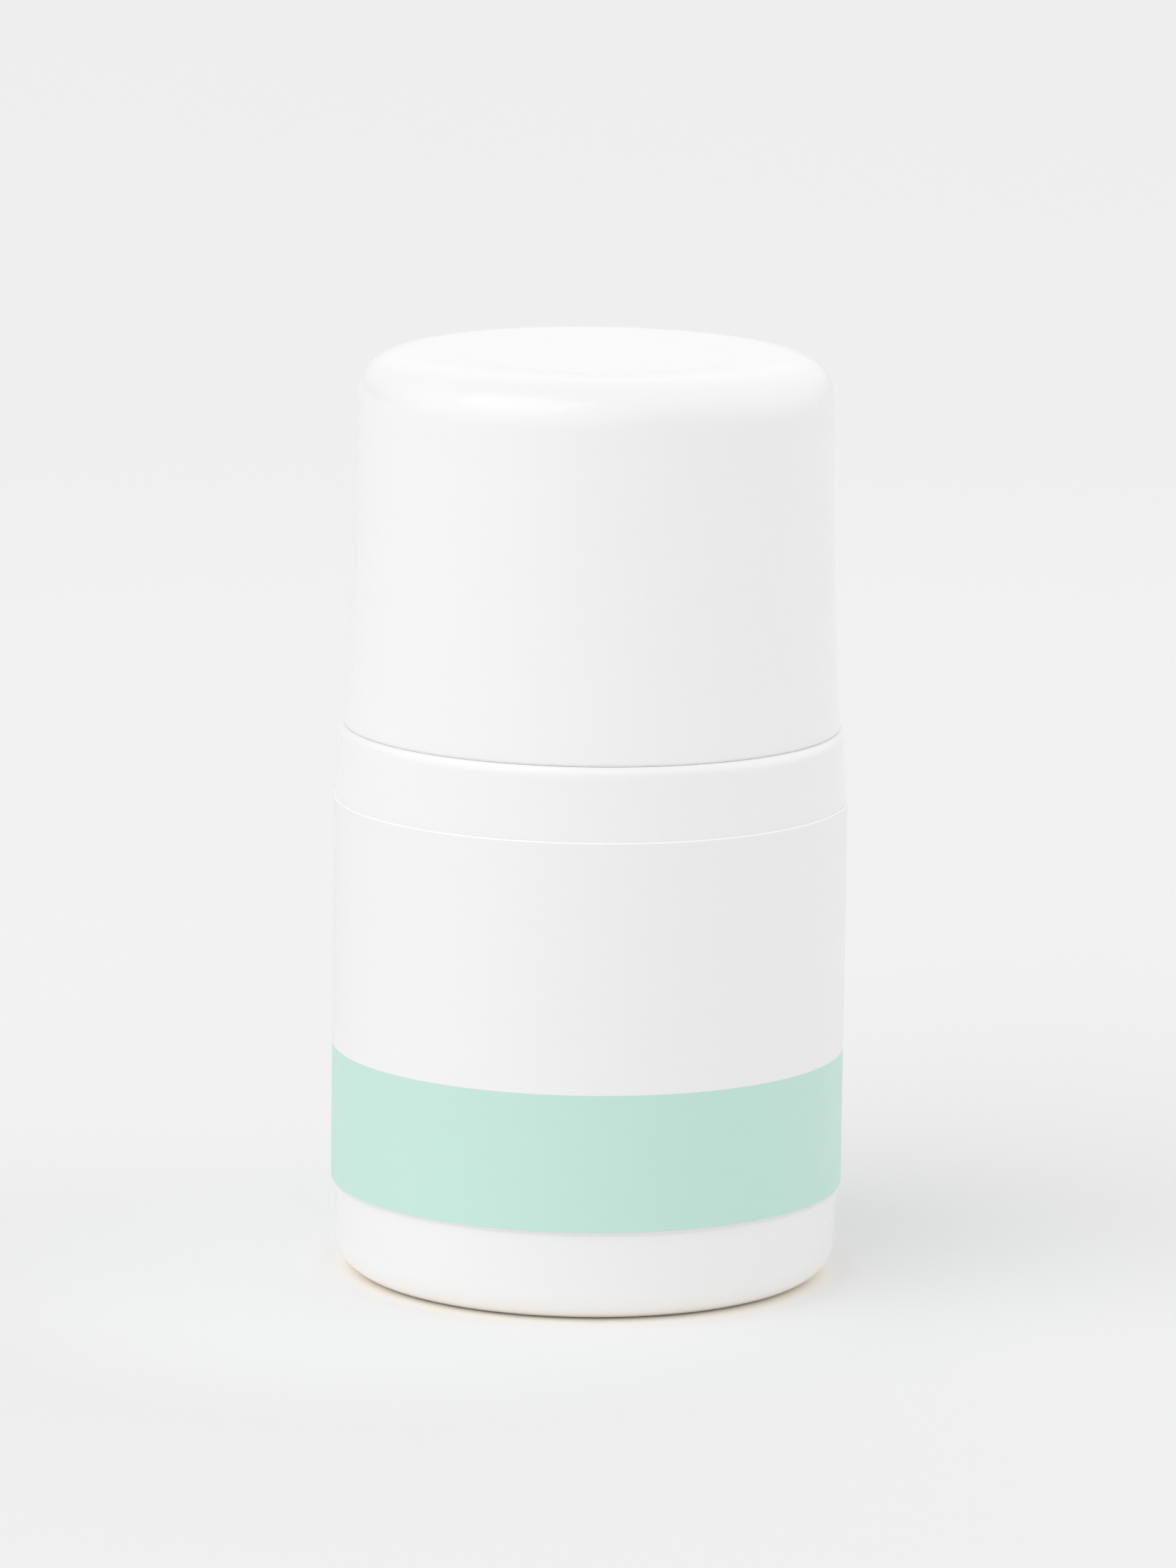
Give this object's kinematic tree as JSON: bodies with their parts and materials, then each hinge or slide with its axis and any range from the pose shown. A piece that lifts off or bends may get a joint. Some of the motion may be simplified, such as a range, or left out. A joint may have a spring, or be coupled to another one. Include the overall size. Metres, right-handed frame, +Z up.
{
  "type": "sponge jar",
  "caption": "Small round white plastic jar with a tall screw cap, a wrap label with a mint band, and a foam core with a finger hole.",
  "frame": {"origin": "middle of the flat ring that the jar stands on", "axes": "+Z up along the axis of the jar and cap; -Y towards the viewer of the picture; +Y is the back, where the label overlaps"},
  "size_m": [0.05, 0.05, 0.0905],
  "materials": {
    "jar": "satin white polypropylene",
    "label": "satin white film, printed with a mint band along its lower edge",
    "foam": "open-cell foam, pale mint",
    "cap": "glossy white polypropylene",
    "inner_cap": "natural white polypropylene",
    "liner": "fine white foam disc"
  },
  "bodies": {
    "jar": {"jar_body": "jar", "wrap_label": "label", "sponge": "foam"},
    "liner": {"cap_liner": "liner"},
    "cap": {"cap_shell": "cap", "cap_inner": "inner_cap"}
  },
  "joints": [
    {"name": "cap_lift", "type": "slide", "parent": "jar", "child": "liner", "axis": [0, 0, 1], "range_m": [0, 0.036]},
    {"name": "cap_turn", "type": "hinge", "parent": "liner", "child": "cap", "pos_m": [0, 0, 0.066], "axis": [0, 0, 1], "range_deg": [0, 1620]}
  ],
  "couplings": [
    {"joint": "cap_lift", "follows": "cap_turn", "m_per_rad": 0.0012732}
  ]
}
